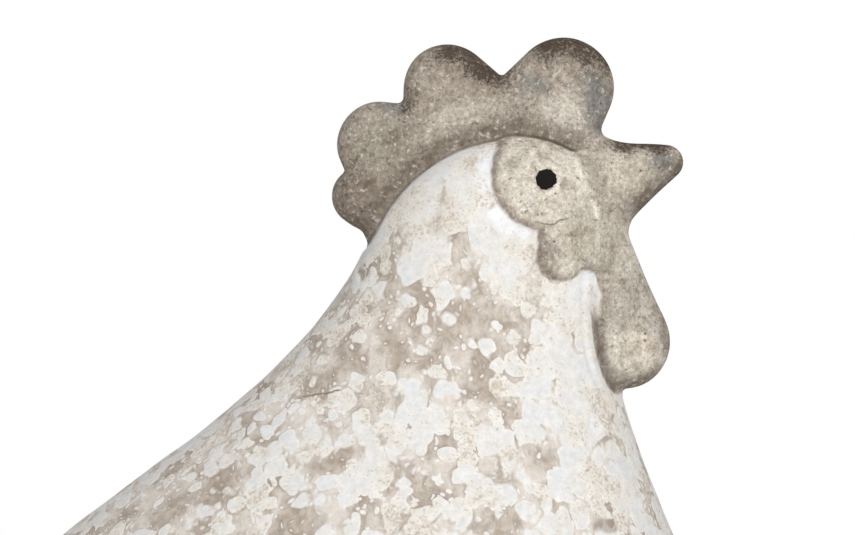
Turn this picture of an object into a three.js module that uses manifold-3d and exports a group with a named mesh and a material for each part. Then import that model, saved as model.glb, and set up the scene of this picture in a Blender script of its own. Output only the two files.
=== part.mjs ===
// A hen figurine cast in cement, in one piece: comb, head, beak, wattle, neck, body, wings, tail and a low oval foot.
// Millimetres, +Z up. The hen faces +X and its middle plane is y = 0. The origin is the middle of the foot's underside.
import * as THREE from "three";
import { LoftGeometry } from "three/addons/geometries/LoftGeometry.js";
import { mergeVertices } from "three/addons/utils/BufferGeometryUtils.js";
import Module from "manifold-3d";

const wasm = await Module();
wasm.setup();

// Driving dimensions
const HEIGHT = 300; // from the ground to the top of the comb
const BODY_WIDTH = 144; // across the flanks, without the wings
const HEAD_WIDTH = 47; // across the cheeks
const COMB_THICKNESS = 15;
const COMB_EDGE = 6.5; // rounding of the comb's rim
const WATTLE_THICKNESS = 15;
const WATTLE_EDGE = 6.5;
const WATTLE_BULGE = 21; // across the heavy drop at the wattle's low end
const THROAT_WIDTH = 25; // across the wattle's root, under the beak
const BEAK_WIDTH = 24; // across the beak's root
const FACE_RELIEF = 1.0; // how far the bare face stands proud of the feathered head
const EYE_DIAMETER = 6.4;
const EYE_DEPTH = 3.2;
const WING_WIDTH = 156; // across both wings
const TAIL_WIDTH = 52; // across the tail's root
const FOOT_LENGTH = 150;
const FOOT_WIDTH = 100;
const FOOT_HEIGHT = 12;
const FOOT_EDGE = 4;

// How finely curves are cut into facets
const RING_SIDES = 44; // round the body
const BODY_LEVELS = 36; // up the body
const FACE_LEVELS = 14; // up the bare face
const LEVEL_BIAS = 0.6; // how far the levels gather towards the top, where the dome closes
const HORN_SIDES = 24;
const HORN_ARCS = 6; // along each of a horn's two round ends
const LUMP_SIDES = 24;
const LUMP_LEVELS = 11;
const PIN_SIDES = 28;
const PIT_SIDES = 22;
const PIT_STEPS = 4; // from the pit's floor up to its wall
const ARC_STEP = THREE.MathUtils.degToRad(15);
const EDGE_STEPS = 4; // round the rim of the comb and the wattle
const FOOT_EDGE_STEPS = 3;
const FOOT_CURVES = 14;
const HALVINGS = 40; // when a rail is read at a height
const SAME_POINT = 1e-4; // corners nearer than this are one

// A rim takes at most this share of its plate's thickness, so that a flat middle is left.
const RIM_SHARE = 0.45;

// The outlines below are drawn for a hen 300 mm tall, and all of them grow with the height.
const grow = HEIGHT / 300;
const at = (x, z) => new THREE.Vector2(x * grow, z * grow);
const circle = (x, z, radius, turn = 1) => ({ centre: at(x, z), radius: radius * grow, turn });

// The crown is an arc of a circle from the nape over the head. The face is a quarter ellipse in front of it.
const crown = circle(66.4, 221.6, 49.5);
const crownTop = crown.centre.y + crown.radius;
const napeHeight = 239.4 * grow;
const cheekHeight = 242 * grow;
const faceReach = 29.5 * grow;
const faceRise = crownTop - cheekHeight;
const tuck = FOOT_HEIGHT / 2; // the body runs down to here, inside the foot

// A rail is a chain of cubic curves, written as end, handle, handle, end and so on, from the head down.
const rail = (...points) => {
  const curves = [];
  for (let i = 0; i + 3 < points.length; i += 3) {
    curves.push(new THREE.CubicBezierCurve(...points.slice(i, i + 4)));
  }
  return curves;
};
const napeX = crown.centre.x - Math.sqrt(crown.radius ** 2 - (napeHeight - crown.centre.y) ** 2);
const faceX = crown.centre.x + faceReach;
const tucked = (x) => new THREE.Vector2(x * grow, tuck);
const backRail = rail(
  new THREE.Vector2(napeX, napeHeight), at(6.3, 203.4), at(-42.3, 174.4),
  at(-70.5, 151.2), at(-93.5, 132.3), at(-119, 109),
  at(-119, 84), at(-119, 50), at(-90, 20), tucked(-60),
);
const frontRail = rail(
  new THREE.Vector2(faceX, cheekHeight), at(95.9, 230), at(93.5, 224),
  at(93.5, 212), at(93.5, 198), at(102.8, 171.4),
  at(111.6, 151.2), at(120.4, 131.1), at(126, 112),
  at(126, 92), at(126, 56), at(98, 20), tucked(66),
);
const halfHead = HEAD_WIDTH / 2;
const halfBody = BODY_WIDTH / 2;
const halfBelly = halfBody * 0.78; // just above the foot
const halfTuck = halfBody / 2;
const sideRail = rail(
  new THREE.Vector2(halfHead, cheekHeight), new THREE.Vector2(halfHead, 180 * grow),
  new THREE.Vector2(halfBody, 143 * grow), new THREE.Vector2(halfBody, 88 * grow),
  new THREE.Vector2(halfBody, 54 * grow), new THREE.Vector2(halfBelly, 18 * grow),
  new THREE.Vector2(halfTuck, tuck),
);

// Reads a rail at a height, by halving the stretch of the curve that the height lies on.
function readRail(curves, z) {
  const curve = curves.find((c) => z >= c.v3.y) ?? curves.at(-1);
  let low = 0;
  let high = 1;
  for (let i = 0; i < HALVINGS; i += 1) {
    const middle = (low + high) / 2;
    if (curve.getPoint(middle).y > z) low = middle;
    else high = middle;
  }
  return curve.getPoint(low).x;
}

// How far a dome of this rise has closed at a height over the cheeks: 1 at its foot and 0 at its top.
const domeShare = (z) => Math.sqrt(Math.max(0, 1 - ((z - cheekHeight) / faceRise) ** 2));

function backAt(z) {
  if (z <= napeHeight) return readRail(backRail, z);
  return crown.centre.x - Math.sqrt(Math.max(0, crown.radius ** 2 - (z - crown.centre.y) ** 2));
}
const frontAt = (z) => (z > cheekHeight ? crown.centre.x + faceReach * domeShare(z) : readRail(frontRail, z));
const sideAt = (z) => (z > cheekHeight ? halfHead * domeShare(z) : readRail(sideRail, z));

// Seen from above, the body is broader at the breast than at the rump, and the head narrower at the face.
const FLARE_HEAD = -0.1;
const FLARE_BODY = 0.12;
function flareAt(z) {
  const share = THREE.MathUtils.smoothstep(z, 150 * grow, 235 * grow);
  return THREE.MathUtils.lerp(FLARE_BODY, FLARE_HEAD, share);
}

// Half the width of the head and body at a point of the middle plane
function halfWidthAt(x, z) {
  const middle = (frontAt(z) + backAt(z)) / 2;
  const reach = (frontAt(z) - backAt(z)) / 2;
  const along = (x - middle) / reach;
  return sideAt(z) * (1 + flareAt(z) * along) * Math.sqrt(Math.max(0, 1 - along ** 2));
}

// One level cut through the head, neck or body: an oval that widens or narrows towards the front
function levelCut(z, proud) {
  const back = backAt(z) - proud;
  const front = frontAt(z) + proud;
  const side = sideAt(z) + proud;
  const ring = [];
  for (let i = 0; i < RING_SIDES; i += 1) {
    const angle = (i / RING_SIDES) * Math.PI * 2;
    const along = Math.cos(angle);
    const x = (front + back) / 2 + ((front - back) / 2) * along;
    const y = side * (1 + flareAt(z) * along) * Math.sin(angle);
    ring.push(new THREE.Vector3(x, y, z));
  }
  return ring;
}

// Turns a closed three.js geometry into a solid that can be joined and cut.
function solid(geometry, matrix = new THREE.Matrix4()) {
  const bare = new THREE.BufferGeometry();
  bare.setAttribute("position", geometry.attributes.position);
  bare.setIndex(geometry.index);
  const merged = mergeVertices(bare.applyMatrix4(matrix), SAME_POINT);
  return new wasm.Manifold(new wasm.Mesh({
    numProp: 3,
    vertProperties: new Float32Array(merged.attributes.position.array),
    triVerts: new Uint32Array(merged.index.array),
  }));
}

// The head, neck and body between two heights, as level cuts set closer together where the dome closes
function carcass(bottom, top, levels, proud = 0) {
  const cuts = [];
  for (let i = 0; i <= levels; i += 1) {
    const even = i / levels;
    const gathered = Math.sin((even * Math.PI) / 2);
    const z = THREE.MathUtils.lerp(bottom, top, THREE.MathUtils.lerp(even, gathered, LEVEL_BIAS));
    cuts.push(levelCut(z, proud));
  }
  return solid(new LoftGeometry(cuts, { capStart: true, capEnd: true }));
}

// A belt is the closed outline that runs round a list of circles in the (x, z) plane. It passes outside a lobe
// (turn 1) and on the far side of a notch (turn -1), and straight from one to the next on their shared tangent.
function belt(circles) {
  const headings = circles.map((a, i) => {
    const b = circles[(i + 1) % circles.length];
    const apart = b.centre.clone().sub(a.centre);
    const rise = b.radius * b.turn - a.radius * a.turn;
    const run = Math.sqrt(Math.max(0, apart.lengthSq() - rise ** 2));
    return apart.angle() - Math.atan2(rise, run);
  });
  const points = [];
  circles.forEach((c, i) => {
    const from = headings[(i + circles.length - 1) % circles.length];
    const full = Math.PI * 2;
    const sweep = ((((headings[i] - from) * c.turn) % full) + full) % full;
    const steps = Math.max(1, Math.ceil(sweep / ARC_STEP));
    for (let s = 0; s <= steps; s += 1) {
      const heading = from + (c.turn * sweep * s) / steps;
      const side = new THREE.Vector2(Math.sin(heading), -Math.cos(heading));
      points.push(c.centre.clone().addScaledVector(side, c.radius * c.turn));
    }
  });
  return points;
}

// A plate stands in the middle plane: the belt's outline, as thick as asked, with a round rim.
function plate(circles, thickness, edge) {
  const rim = Math.min(edge, thickness * RIM_SHARE);
  const geometry = new THREE.ExtrudeGeometry(new THREE.Shape(belt(circles)), {
    depth: thickness - rim * 2,
    bevelThickness: rim,
    bevelSize: rim,
    bevelOffset: -rim,
    bevelSegments: EDGE_STEPS,
    curveSegments: 1,
  });
  geometry.translate(0, 0, rim - thickness / 2);
  return solid(geometry, new THREE.Matrix4().makeRotationX(Math.PI / 2));
}

// A horn is the hull of a large ball and a small one in the middle plane, pressed flat sideways to a width.
function horn(root, tip, width) {
  const apart = tip.centre.clone().sub(root.centre);
  const length = apart.length();
  const lean = Math.asin((root.radius - tip.radius) / length);
  const profile = [];
  for (let i = 0; i <= HORN_ARCS; i += 1) {
    const angle = THREE.MathUtils.lerp(-Math.PI / 2, lean, i / HORN_ARCS);
    profile.push(new THREE.Vector2(root.radius * Math.cos(angle), root.radius * Math.sin(angle)));
  }
  for (let i = 0; i <= HORN_ARCS; i += 1) {
    const angle = THREE.MathUtils.lerp(lean, Math.PI / 2, i / HORN_ARCS);
    profile.push(new THREE.Vector2(tip.radius * Math.cos(angle), length + tip.radius * Math.sin(angle)));
  }
  profile[0].x = 0;
  profile.at(-1).x = 0;
  const press = width / (root.radius * 2);
  const matrix = new THREE.Matrix4()
    .makeTranslation(root.centre.x, 0, root.centre.y)
    .multiply(new THREE.Matrix4().makeRotationY(Math.PI / 2 - apart.angle()))
    .multiply(new THREE.Matrix4().makeScale(1, press, 1))
    .multiply(new THREE.Matrix4().makeRotationX(Math.PI / 2));
  return solid(new THREE.LatheGeometry(profile, HORN_SIDES), matrix);
}

// A ball pressed to three half sizes, tilted in the middle plane, turned about the vertical and set at a point
function lump(place, half, tilt = 0, turn = 0) {
  const matrix = new THREE.Matrix4()
    .makeTranslation(place.x, place.y, place.z)
    .multiply(new THREE.Matrix4().makeRotationZ(turn))
    .multiply(new THREE.Matrix4().makeRotationY(tilt))
    .multiply(new THREE.Matrix4().makeScale(half.x, half.y, half.z));
  return solid(new THREE.SphereGeometry(1, LUMP_SIDES, LUMP_LEVELS), matrix);
}

// The comb: four lobes from the brow to the nape, the notches between them, and hidden turns inside the head
const comb = plate([
  circle(92, 259, 8), // hidden in the beak's root
  circle(93.8, 272.4, 3.4, -1), // notch over the beak
  circle(79, 284.85, 15.15), // front lobe, the hen's highest point
  circle(60.5, 290.2, 1.4, -1),
  circle(44.3, 284.7, 13.3),
  circle(29.3, 282.1, 1.7, -1),
  circle(24.1, 268, 12.9),
  circle(12.6, 260.2, 0.7, -1),
  circle(18, 252.6, 8.5), // rear lobe
  circle(13.3, 238.1, 6, -1), // sweep into the nape
  circle(32, 229, 8), // hidden in the neck
  circle(80, 250, 8), // hidden in the head
], COMB_THICKNESS, COMB_EDGE);

// The wattle: one flap from the throat down to a heavy round end
const drop = circle(96.9, 209, 13.6);
const wattle = plate([
  drop,
  circle(104.3, 242.1, 6, -1), // throat, under the beak
  circle(92, 252, 8), // hidden in the beak's root
  circle(84, 246, 8), // hidden in the face
  circle(84, 203, 8), // hidden in the neck
], WATTLE_THICKNESS, WATTLE_EDGE);
const dropReach = drop.radius - 0.07 * grow; // just inside the wattle's rim, which keeps its outline
const dropLump = lump(
  new THREE.Vector3(drop.centre.x, 0, drop.centre.y),
  new THREE.Vector3(dropReach, WATTLE_BULGE / 2, dropReach),
);
const throatLump = lump(
  new THREE.Vector3(94.5 * grow, 0, 221 * grow),
  new THREE.Vector3(8 * grow, THROAT_WIDTH / 2, 16 * grow),
);

const beak = horn(circle(83.7, 253, 16), circle(109.8, 262.8, 5.15), BEAK_WIDTH);

// The tail: a fan of three blunt feathers from one root inside the rump
const tailTips = [circle(-136, 155, 14), circle(-143, 137, 13), circle(-140, 118, 14)];
const tail = tailTips.map((tip) => horn(circle(-85, 94, 36), tip, TAIL_WIDTH));

// The folded wings are low swellings that lie along the flanks.
const wingTilt = THREE.MathUtils.degToRad(-8);
const wingTurn = THREE.MathUtils.degToRad(8);
const wingHalf = new THREE.Vector3(70, 17, 34).multiplyScalar(grow);
const wingReach = Math.hypot(wingHalf.x * Math.sin(wingTurn), wingHalf.y * Math.cos(wingTurn));
const wings = [-1, 1].map((side) => lump(
  new THREE.Vector3(-10 * grow, side * (WING_WIDTH / 2 - wingReach), 100 * grow),
  wingHalf, wingTilt, side * wingTurn,
));

// The bare face stands a little proud of the feathered head. Seen from the side, it is five discs that run together.
const eye = at(73.05, 257.05);
const faceDiscs = [
  circle(73.3, 258.2, 16.3), // round the eye
  circle(75, 262.5, 16.5), // brow, up to the comb
  circle(88, 247, 17), // cheek, forward to the beak and the throat
  circle(76, 240.5, 5.6), // where the ear lobe hangs from the cheek
  circle(77.4, 234.6, 7.3), // ear lobe
];
function pin(disc) {
  const matrix = new THREE.Matrix4().makeTranslation(disc.centre.x, 0, disc.centre.y);
  return solid(new THREE.CylinderGeometry(disc.radius, disc.radius, HEAD_WIDTH * 2, PIN_SIDES), matrix);
}
const faceFloor = 220 * grow;
const capTop = crownTop - 0.1 * grow; // the loft's flat top lies inside the comb
const facePins = faceDiscs.map(pin).reduce((joined, next) => joined.add(next));
const face = carcass(faceFloor, capTop, FACE_LEVELS, FACE_RELIEF).intersect(facePins);

// One blind eye pit on each side: a punched hole with a round bottom
function eyePit(side) {
  const radius = EYE_DIAMETER / 2;
  const skin = halfWidthAt(eye.x, eye.y) + FACE_RELIEF;
  const profile = [new THREE.Vector2(0, -EYE_DEPTH)];
  for (let i = 1; i <= PIT_STEPS; i += 1) {
    const angle = ((i / PIT_STEPS) * Math.PI) / 2;
    profile.push(new THREE.Vector2(radius * Math.sin(angle), (radius / 2) * (1 - Math.cos(angle)) - EYE_DEPTH));
  }
  profile.push(new THREE.Vector2(radius, EYE_DIAMETER), new THREE.Vector2(0, EYE_DIAMETER));
  const matrix = new THREE.Matrix4()
    .makeTranslation(eye.x, side * skin, eye.y)
    .multiply(new THREE.Matrix4().makeRotationX(side > 0 ? 0 : Math.PI));
  return solid(new THREE.LatheGeometry(profile, PIT_SIDES), matrix);
}

// The foot: a low oval slab with its edges rounded
function ovalFoot() {
  const edge = Math.min(FOOT_EDGE, FOOT_HEIGHT * RIM_SHARE);
  const outline = new THREE.Shape();
  outline.absellipse(0, 0, FOOT_LENGTH / 2, FOOT_WIDTH / 2, 0, Math.PI * 2);
  const geometry = new THREE.ExtrudeGeometry(outline, {
    depth: FOOT_HEIGHT - edge * 2,
    bevelThickness: edge,
    bevelSize: edge,
    bevelOffset: -edge,
    bevelSegments: FOOT_EDGE_STEPS,
    curveSegments: FOOT_CURVES,
  });
  geometry.translate(0, 0, edge);
  return solid(geometry);
}

let hen = carcass(tuck, capTop, BODY_LEVELS);
const pieces = [comb, wattle, dropLump, throatLump, beak, face, ...tail, ...wings, ovalFoot()];
for (const piece of pieces) hen = hen.add(piece);
for (const side of [-1, 1]) hen = hen.subtract(eyePit(side));

// Turns the finished solid back into a three.js geometry.
function geometryOf(shape) {
  const mesh = shape.getMesh();
  const geometry = new THREE.BufferGeometry();
  geometry.setAttribute("position", new THREE.BufferAttribute(new Float32Array(mesh.vertProperties), 3));
  geometry.setIndex(new THREE.BufferAttribute(new Uint32Array(mesh.triVerts), 1));
  geometry.computeVertexNormals();
  return geometry;
}

const cement = new THREE.MeshStandardMaterial({ color: 0xd9d3c8, roughness: 0.92, metalness: 0 });
const casting = new THREE.Mesh(geometryOf(hen), cement);
casting.name = "hen_casting";

const group = new THREE.Group();
group.add(casting);
export default group;
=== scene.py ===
# %% [markdown]
# # A cement hen, whitewashed and left out in the weather
#
# The real thing is one casting: cement pressed or poured into a mould, with a thick comb, a stout beak, a
# wattle, a plump body, a fanned tail and a low oval foot. It was painted with lime wash, which has crept into
# raised flecks over the body and worn off the comb, the beak and the wattle, where the grey cement shows.
#
# The lesson loads the plain solid, works out the same form as one smooth surface, gives it a finish, and
# lights it.

import bpy
import numpy as np
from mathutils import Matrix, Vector


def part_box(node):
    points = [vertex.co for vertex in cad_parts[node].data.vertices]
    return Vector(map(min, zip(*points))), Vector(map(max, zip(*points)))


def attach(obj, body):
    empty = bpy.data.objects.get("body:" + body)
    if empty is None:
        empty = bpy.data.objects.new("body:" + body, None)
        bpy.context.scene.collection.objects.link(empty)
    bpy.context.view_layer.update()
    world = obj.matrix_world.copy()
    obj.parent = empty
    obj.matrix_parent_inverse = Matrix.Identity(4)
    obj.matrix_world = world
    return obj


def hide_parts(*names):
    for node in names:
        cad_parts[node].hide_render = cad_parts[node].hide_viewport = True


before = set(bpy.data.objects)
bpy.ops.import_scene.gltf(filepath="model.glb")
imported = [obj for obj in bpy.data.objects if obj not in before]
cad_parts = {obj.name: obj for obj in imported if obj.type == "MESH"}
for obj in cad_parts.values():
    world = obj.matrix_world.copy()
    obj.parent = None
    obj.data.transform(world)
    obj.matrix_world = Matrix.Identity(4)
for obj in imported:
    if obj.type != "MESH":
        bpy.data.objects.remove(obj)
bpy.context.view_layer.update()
casting_low, casting_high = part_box("hen_casting")

# %% [markdown]
# ## Sizes
#
# All carving is laid out in millimetres on a hen 300 mm tall, and grows with the height that the frame has.
# The middle plane is y = 0, the hen faces +X, and the ground is z = 0.

# %% Named sizes
MM = 0.001
LAYOUT_HEIGHT = 300.0
grow = (casting_high.z - casting_low.z) / MM / LAYOUT_HEIGHT
BODY_WIDTH = 144.0
HEAD_WIDTH = 47.0
COMB_THICKNESS = 15.0
COMB_EDGE = 6.5
WATTLE_THICKNESS = 15.0
WATTLE_EDGE = 6.5
WATTLE_BULGE = 21.0
THROAT_WIDTH = 25.0
BEAK_WIDTH = 24.0
FACE_RELIEF = 1.0
EYE_DIAMETER = 6.4
EYE_DEPTH = 3.2
WING_WIDTH = 156.0
TAIL_WIDTH = 52.0
FOOT_LENGTH = 150.0
FOOT_WIDTH = 100.0
FOOT_HEIGHT = 12.0
FOOT_EDGE = 4.0
print("layout grows by", round(grow, 4))

# %% [markdown]
# ## Rails: the back, the front and the flank
#
# A rail says where the body's skin is at each height. It is a chain of cubic curves, the pen-tool kind with
# two handles. Reading a rail at many heights is one call of `numpy.interp` on a densely sampled curve, so no
# loop ever runs over vertices.


# %% Rails
def rail(points, samples=160):
    """A chain of cubic curves. Each point is the sum of its four control points, weighted by (1-t)^3,
    3t(1-t)^2, 3t^2(1-t) and t^3. Returns heights, rising, and the rail's value at each."""
    points = np.array(points, float) * (grow, grow)
    t = np.linspace(0, 1, samples)[:, None]
    weights = ((1 - t) ** 3, 3 * t * (1 - t) ** 2, 3 * t ** 2 * (1 - t), t ** 3)
    curves = [
        sum(w * p for w, p in zip(weights, points[i:i + 4]))
        for i in range(0, len(points) - 3, 3)
    ]
    line = np.concatenate(curves)[::-1]
    return line[:, 1], line[:, 0]


crown_x, crown_z, crown_radius = 66.4 * grow, 221.6 * grow, 49.5 * grow
crown_top = crown_z + crown_radius
nape_z = 239.4 * grow
cheek_z = 242.0 * grow
face_reach = 29.5 * grow
face_rise = crown_top - cheek_z
tuck = FOOT_HEIGHT / 2
half_head = HEAD_WIDTH / 2 / grow
half_body = BODY_WIDTH / 2 / grow
low = tuck / grow

back_rail = rail([
    (20.21, 239.4), (6.3, 203.4), (-42.3, 174.4), (-70.5, 151.2), (-93.5, 132.3), (-119, 109),
    (-119, 84), (-119, 50), (-90, 20), (-60, low),
])
front_rail = rail([
    (95.9, 242), (95.9, 230), (93.5, 224), (93.5, 212), (93.5, 198), (102.8, 171.4),
    (111.6, 151.2), (120.4, 131.1), (126, 112), (126, 92), (126, 56), (98, 20), (66, low),
])
side_rail = rail([
    (half_head, 242), (half_head, 180), (half_body, 143), (half_body, 88),
    (half_body, 54), (half_body * 0.78, 18), (half_body / 2, low),
])


def smooth_step(value, start, end):
    """0 before start, 1 after end, and the cubic t*t*(3 - 2t) between."""
    t = np.clip((value - start) / (end - start), 0, 1)
    return t * t * (3 - 2 * t)


level_z = np.linspace(tuck, crown_top + 20 * grow, 3000)
above_cheek = level_z > cheek_z
crown_back = np.sqrt(np.clip(crown_radius ** 2 - (level_z - crown_z) ** 2, 1, None))
dome_back = face_rise * np.sqrt(
    np.clip(level_z - crown_z + crown_radius, 1, None) / np.clip(level_z - cheek_z + face_rise, 1, None)
)
level_back = np.where(level_z > nape_z, crown_x - crown_back, np.interp(level_z, *back_rail))
level_back = np.where(above_cheek, crown_x - dome_back, level_back)
level_front = np.where(above_cheek, crown_x + face_reach, np.interp(level_z, *front_rail))
level_side = np.where(above_cheek, half_head * grow, np.interp(level_z, *side_rail))
level_middle = (level_front + level_back) / 2
level_reach = (level_front - level_back) / 2
level_axis = level_middle + (crown_x - level_middle) * smooth_step(level_z, 195 * grow, cheek_z)
FLARE_HEAD, FLARE_BODY = -0.10, 0.12
level_flare = FLARE_BODY + (FLARE_HEAD - FLARE_BODY) * smooth_step(level_z, 150 * grow, 235 * grow)
print("widest body in mm:", round(2 * level_side.max(), 1), "deepest:", round(2 * level_reach.max(), 1))

# %% [markdown]
# ## A form as a field
#
# A mould maker thinks in volumes that run into each other: a beak grows out of a face, a comb is pressed into
# a crown. A mesh of separate parts would show its joins, so here the whole hen is one field: a function that
# is negative inside the casting and positive outside, in millimetres. Volumes join with a soft minimum, which
# fills the corner between them with a fillet as wide as asked.


# %% Field helpers
def soft_min(a, b, width):
    """The smaller of a and b, less the cube of how near they are, so that the corner is a fillet of that
    width."""
    near = np.clip(width - np.abs(a - b), 0, None) / width
    return np.minimum(a, b) - near ** 3 * width / 6


def soft_max(a, b, width):
    """The larger of a and b with a rounded corner: the soft minimum upside down."""
    return -soft_min(-a, -b, width)


print("a fillet 6 mm wide fills a square corner by", -soft_min(0, 0, 6), "mm")


def girth(x, y, z):
    """How large the body would have to be for a point to lie on its skin, with 1 for the size that it has.
    Level cuts are ovals that grow from an axis; over the cheeks the head closes as a dome, the root of size^2
    + height^2."""
    rows = (level_axis, level_middle, level_reach, level_side, level_flare)
    axis, middle, reach, side, flare = (np.interp(z, level_z, row) for row in rows)
    ahead = x - axis
    shift = middle - axis
    spare = 1 - (shift / reach) ** 2
    pull = ahead * shift / reach ** 2
    width = side
    for _ in range(3):
        size = (np.sqrt(pull ** 2 + spare * ((ahead / reach) ** 2 + (y / width) ** 2)) - pull) / spare
        along = np.clip((ahead / np.maximum(size, 1e-3) - shift) / reach, -1, 1)
        width = side * (1 + flare * along)
    return np.sqrt(size ** 2 + np.clip((z - cheek_z) / face_rise, 0, None) ** 2)


def carcass(x, y, z):
    """The head, neck and body. The distance to the skin is (girth - 1) over the slope of the girth, which is
    taken by a small step along each axis."""
    step = 0.05
    size = girth(x, y, z)
    slope = np.sqrt(
        (girth(x + step, y, z) - size) ** 2
        + (girth(x, y + step, z) - size) ** 2
        + (girth(x, y, z + step) - size) ** 2
    ) / step
    return np.maximum((size - 1) / np.maximum(slope, 0.004), tuck - z)


def ball(x, y, z, place, half, tilt=0.0, turn=0.0):
    """A ball pressed to three half sizes: k0 (k0 - 1) / k1, where k0 is the point's length in half sizes and
    k1 in squared half sizes. The point is first turned about the vertical and then tilted in the middle
    plane."""
    dx, dy, dz = x - place[0], y - place[1], z - place[2]
    dx, dy = dx * np.cos(turn) + dy * np.sin(turn), dy * np.cos(turn) - dx * np.sin(turn)
    dx, dz = dx * np.cos(tilt) - dz * np.sin(tilt), dz * np.cos(tilt) + dx * np.sin(tilt)
    k0 = np.sqrt((dx / half[0]) ** 2 + (dy / half[1]) ** 2 + (dz / half[2]) ** 2) + 1e-6
    k1 = np.sqrt((dx / half[0] ** 2) ** 2 + (dy / half[1] ** 2) ** 2 + (dz / half[2] ** 2) ** 2) + 1e-9
    return k0 * (k0 - 1) / k1


def horn(x, y, z, root, tip, width):
    """The hull of a large ball and a small one, pressed sideways. A point's distance is measured from the
    ball on the axis that faces it: its place along the axis is s less the point's radius times the lean of
    the side."""
    press = width / (2 * root[2] * grow)
    root_x, root_z, root_r = (v * grow for v in root)
    tip_x, tip_z, tip_r = (v * grow for v in tip)
    length = np.hypot(tip_x - root_x, tip_z - root_z)
    ax, az = (tip_x - root_x) / length, (tip_z - root_z) / length
    dx, dy, dz = x - root_x, y / press, z - root_z
    s = dx * ax + dz * az
    out = np.sqrt(np.clip(dx ** 2 + dy ** 2 + dz ** 2 - s ** 2, 0, None))
    lean = (root_r - tip_r) / length
    centre = np.clip(s - out * lean / np.sqrt(1 - lean ** 2), 0, length)
    away = np.sqrt(out ** 2 + (s - centre) ** 2) + 1e-6
    share_y = dy / away
    slope = np.sqrt(np.clip(1 - share_y ** 2, 0, 1) + (share_y / press) ** 2)
    return (away - (root_r - lean * centre)) / slope

# %% [markdown]
# ## The belt: an outline of round lobes and notches
#
# The comb's outline in the photo is all round lobes and tight round notches. A belt round a row of pulleys
# has that shape: it wraps each lobe, passes behind each notch, and runs straight between them on their shared
# tangent. The distance to it is exact, because every stretch is an arc or a straight line.


# %% Belts
def belt(circles):
    """Rows of x, z, radius and turn (1 for a lobe, -1 for a notch) become arcs and straights. The heading of
    each straight is the direction between two centres, turned by atan2(difference of signed radii, straight
    length)."""
    rows = np.array(circles, float) * (grow, grow, grow, 1)
    after = np.roll(rows, -1, axis=0)
    gap = after[:, :2] - rows[:, :2]
    rise = after[:, 2] * after[:, 3] - rows[:, 2] * rows[:, 3]
    run = np.sqrt(np.clip((gap ** 2).sum(1) - rise ** 2, 0, None))
    heading = np.arctan2(gap[:, 1], gap[:, 0]) - np.arctan2(rise, run)
    before = np.roll(heading, 1)
    sweep = ((heading - before) * rows[:, 3]) % (2 * np.pi)
    return [tuple(row) + (h, b, s, length) for row, h, b, s, length in zip(rows, heading, before, sweep, run)]


def belt_distance(x, z, outline):
    """Signed distance in the middle plane, negative inside: the value of the arc or straight that is
    nearest."""
    best = np.full(np.broadcast(x, z).shape, 1e3)
    for cx, cz, radius, turn, heading, before, sweep, run in outline:
        start = before - turn * np.pi / 2
        angle = np.arctan2(z - cz, x - cx)
        inside = ((angle - start) * turn) % (2 * np.pi) <= sweep
        value = np.where(inside, (np.hypot(x - cx, z - cz) - radius) * turn, 1e3)
        best = np.where(np.abs(value) < np.abs(best), value, best)
        x0 = cx + radius * turn * np.sin(heading)
        z0 = cz - radius * turn * np.cos(heading)
        along = (x - x0) * np.cos(heading) + (z - z0) * np.sin(heading)
        side = (x - x0) * np.sin(heading) - (z - z0) * np.cos(heading)
        value = np.where((along >= 0) & (along <= run), side, 1e3)
        best = np.where(np.abs(value) < np.abs(best), value, best)
    return best


def plate(depth, y, half, edge):
    """A plate with a round rim: the belt's distance and the height over the flat side, both past the rim's
    centre, give a corner distance, less the rim's radius."""
    out = depth + edge
    up = np.abs(y) - (half - edge)
    corner = np.hypot(np.maximum(out, 0), np.maximum(up, 0))
    return np.minimum(np.maximum(out, up), 0) + corner - edge


comb_belt = belt([
    (92, 259, 8, 1), (93.8, 272.4, 3.4, -1), (79, 284.85, 15.15, 1), (60.5, 290.2, 1.4, -1),
    (44.3, 284.7, 13.3, 1), (29.3, 282.1, 1.7, -1), (24.1, 268, 12.9, 1), (12.6, 260.2, 0.7, -1),
    (18, 252.6, 8.5, 1), (13.3, 238.1, 6, -1), (32, 229, 8, 1), (80, 250, 8, 1),
])
DROP = (96.9, 209, 13.6)
wattle_belt = belt([
    DROP + (1,), (104.3, 242.1, 6, -1), (92, 252, 8, 1), (84, 246, 8, 1), (84, 203, 8, 1),
])
print("comb belt:", len(comb_belt), "circles; wattle belt:", len(wattle_belt))

# %% [markdown]
# ## The hen's volumes
#
# Each part of the bird is its own short function, so that the finish can later ask which of them a point of
# the skin belongs to: the bare comb, beak and wattle, or the whitewashed rest.

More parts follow.
